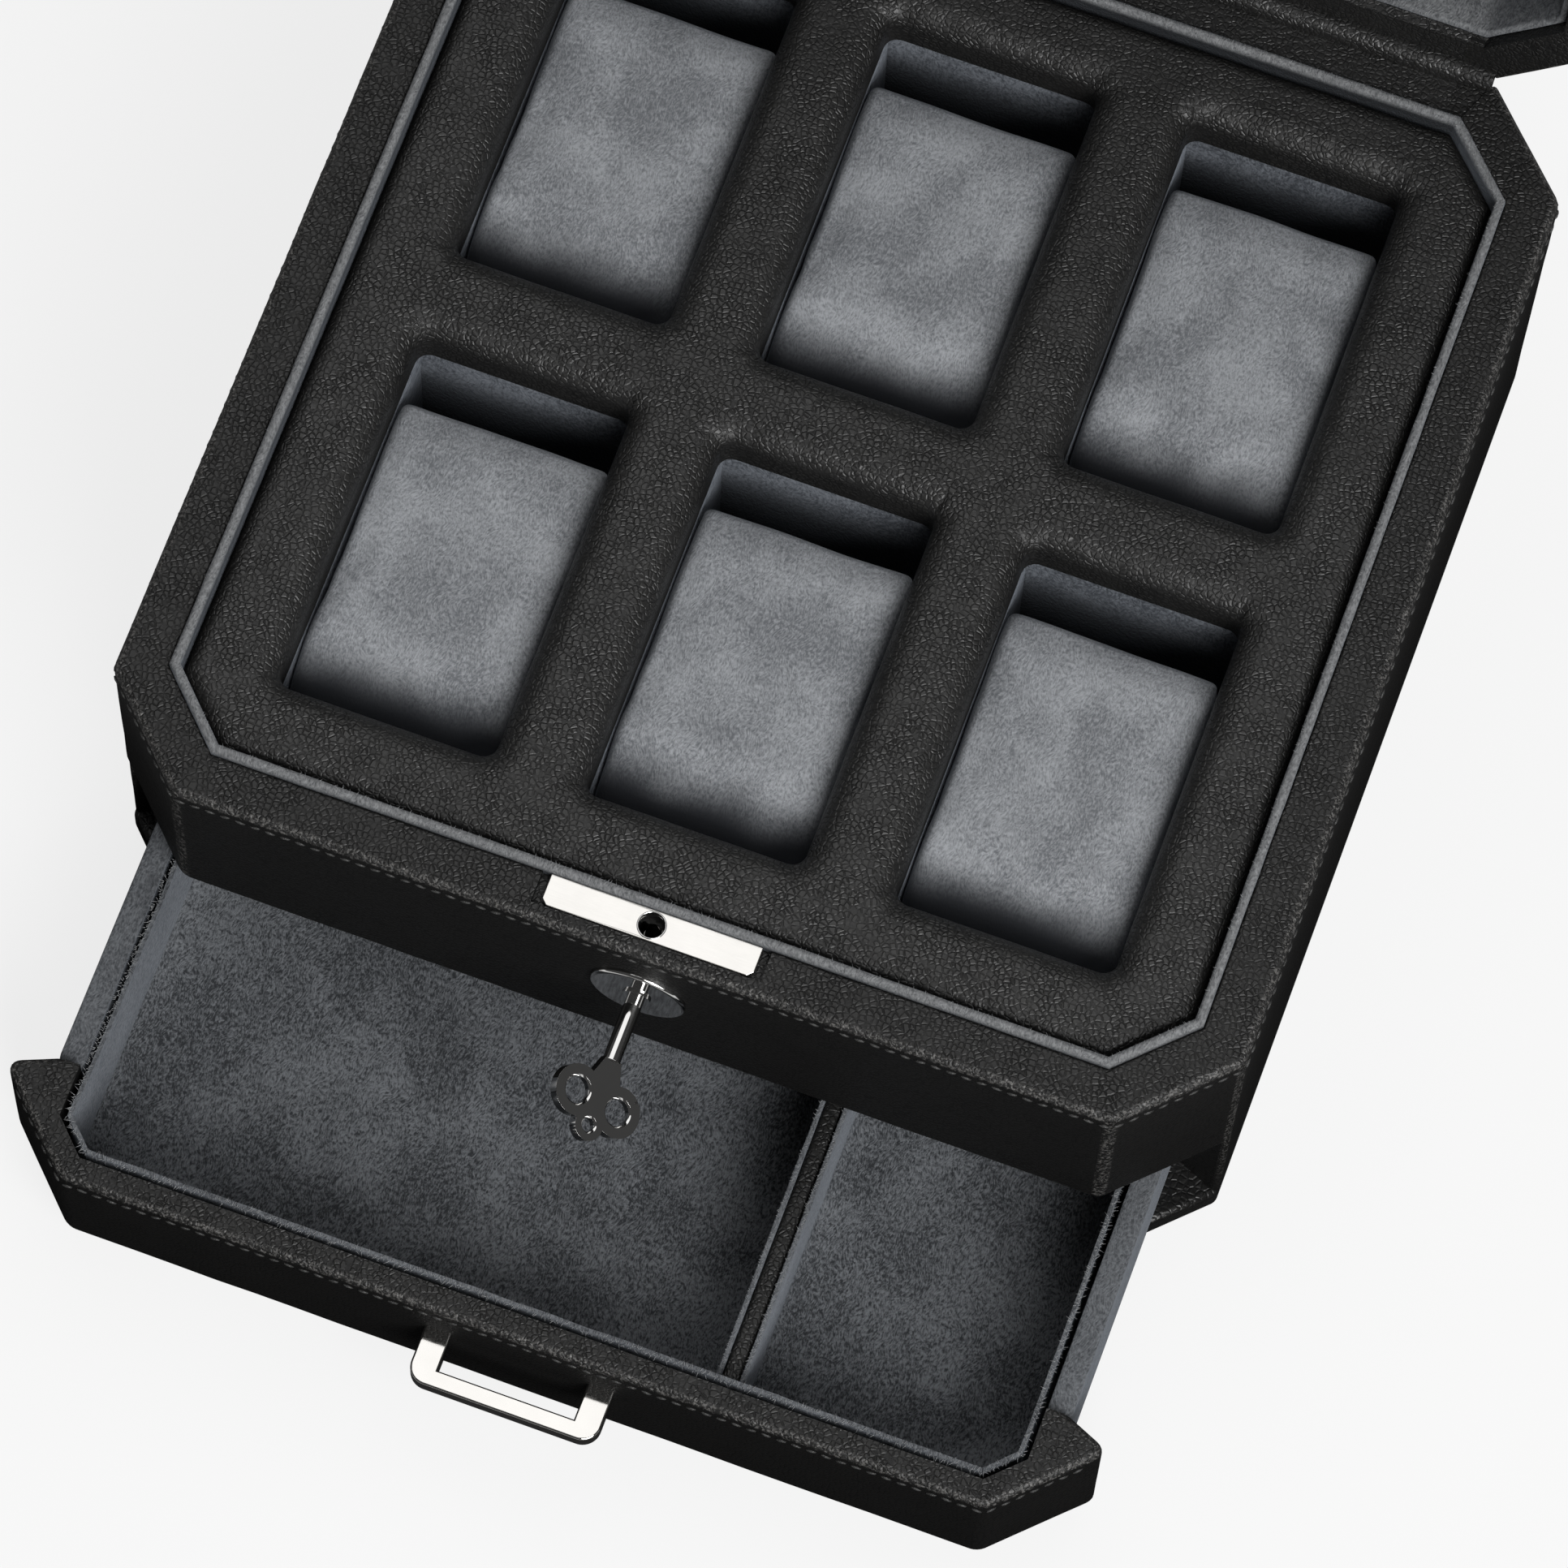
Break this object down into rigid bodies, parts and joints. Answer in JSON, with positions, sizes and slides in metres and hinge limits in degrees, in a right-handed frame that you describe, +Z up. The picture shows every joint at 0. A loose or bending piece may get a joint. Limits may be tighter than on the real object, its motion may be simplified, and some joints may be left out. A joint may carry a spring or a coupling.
{
  "type": "watch box",
  "caption": "Square leather watch box with cut corners, a hinged lid with a keyed lock, suede pillows in padded pockets and a suede-lined drawer below.",
  "frame": {"origin": "middle of the underside of the base, on the flat face that the box stands on", "axes": "+X right along the front, +Y from the front to the hinges at the back, +Z up"},
  "size_m": [0.242, 0.3921, 0.3326],
  "materials": {
    "case_leather": "black grained leather over board",
    "pad_leather": "black pebbled leather over padding",
    "strip_leather": "shiny black pebbled leather",
    "pillow_suede": "light grey suede",
    "liner_suede": "grey suede with a raised nap",
    "pocket_suede": "blue-grey suede",
    "drawer_suede": "charcoal suede over board",
    "felt": "black felt",
    "nickel": "bright satin nickel plate",
    "chrome": "polished plate",
    "steel": "plain steel"
  },
  "bodies": {
    "case": {"back_board": "case_leather", "base_board": "case_leather", "base_felt": "felt", "case_liner": "liner_suede", "escutcheon": "chrome", "front_fascia": "case_leather", "front_left_corner": "case_leather", "front_right_corner": "case_leather", "hinge_case_leaves": "steel", "hinge_pins": "steel", "hinge_strip_case": "strip_leather", "left_side_board": "case_leather", "lock_case": "steel", "lock_plate": "nickel", "lock_screws": "steel", "rear_left_corner": "case_leather", "rear_right_corner": "case_leather", "right_side_board": "case_leather", "shelf_board": "pocket_suede", "tray_cross_bars": "pocket_suede", "tray_long_bars": "pocket_suede", "tray_pad": "pad_leather"},
    "lid": {"catch_plate": "nickel", "catch_stud": "nickel", "hinge_lid_leaves": "steel", "hinge_strip_lid": "strip_leather", "lid_back_rail": "case_leather", "lid_front_left_corner": "case_leather", "lid_front_rail": "case_leather", "lid_front_right_corner": "case_leather", "lid_left_rail": "case_leather", "lid_liner": "liner_suede", "lid_lining": "liner_suede", "lid_rear_left_corner": "case_leather", "lid_rear_right_corner": "case_leather", "lid_right_rail": "case_leather", "lid_top_board": "case_leather"},
    "drawer": {"drawer_back": "drawer_suede", "drawer_bottom": "drawer_suede", "drawer_divider": "drawer_suede", "drawer_floor": "drawer_suede", "drawer_front": "case_leather", "drawer_left_side": "drawer_suede", "drawer_left_wing": "case_leather", "drawer_liner": "liner_suede", "drawer_pull": "nickel", "drawer_right_side": "drawer_suede", "drawer_right_wing": "case_leather", "pull_screws": "steel"},
    "lock_plug": {"lock_plug": "chrome"},
    "lock_bolt": {"lock_bolt": "steel"},
    "key": {"key": "chrome"},
    "pillow_back_left": {"pillow_back_left": "pillow_suede"},
    "pillow_back_middle": {"pillow_back_middle": "pillow_suede"},
    "pillow_back_right": {"pillow_back_right": "pillow_suede"},
    "pillow_front_left": {"pillow_front_left": "pillow_suede"},
    "pillow_front_middle": {"pillow_front_middle": "pillow_suede"},
    "pillow_front_right": {"pillow_front_right": "pillow_suede"}
  },
  "joints": [
    {"name": "lid_hinge", "type": "hinge", "parent": "case", "child": "lid", "pos_m": [0, 0.121, 0.09315], "axis": [-1, 0, 0], "range_deg": [-98, 0]},
    {"name": "drawer_slide", "type": "slide", "parent": "case", "child": "drawer", "axis": [0, -1, 0], "range_m": [-0.0692, 0.08]},
    {"name": "lock_turn", "type": "hinge", "parent": "case", "child": "lock_plug", "pos_m": [0, -0.121, 0.0725], "axis": [0, 1, 0], "range_deg": [0, 92]},
    {"name": "bolt_slide", "type": "slide", "parent": "case", "child": "lock_bolt", "axis": [1, 0, 0], "range_m": [0, 0.00565]},
    {"name": "key_slide", "type": "slide", "parent": "lock_plug", "child": "key", "axis": [0, -1, 0], "range_m": [0, 0.025]},
    {"name": "pillow_back_left_lift", "type": "slide", "parent": "case", "child": "pillow_back_left", "axis": [0, 0, 1], "range_m": [0, 0.05]},
    {"name": "pillow_back_middle_lift", "type": "slide", "parent": "case", "child": "pillow_back_middle", "axis": [0, 0, 1], "range_m": [0, 0.05]},
    {"name": "pillow_back_right_lift", "type": "slide", "parent": "case", "child": "pillow_back_right", "axis": [0, 0, 1], "range_m": [0, 0.05]},
    {"name": "pillow_front_left_lift", "type": "slide", "parent": "case", "child": "pillow_front_left", "axis": [0, 0, 1], "range_m": [0, 0.05]},
    {"name": "pillow_front_middle_lift", "type": "slide", "parent": "case", "child": "pillow_front_middle", "axis": [0, 0, 1], "range_m": [0, 0.05]},
    {"name": "pillow_front_right_lift", "type": "slide", "parent": "case", "child": "pillow_front_right", "axis": [0, 0, 1], "range_m": [0, 0.05]}
  ],
  "couplings": [
    {"joint": "lock_turn", "follows": "bolt_slide", "rad_per_m": 277.78}
  ]
}
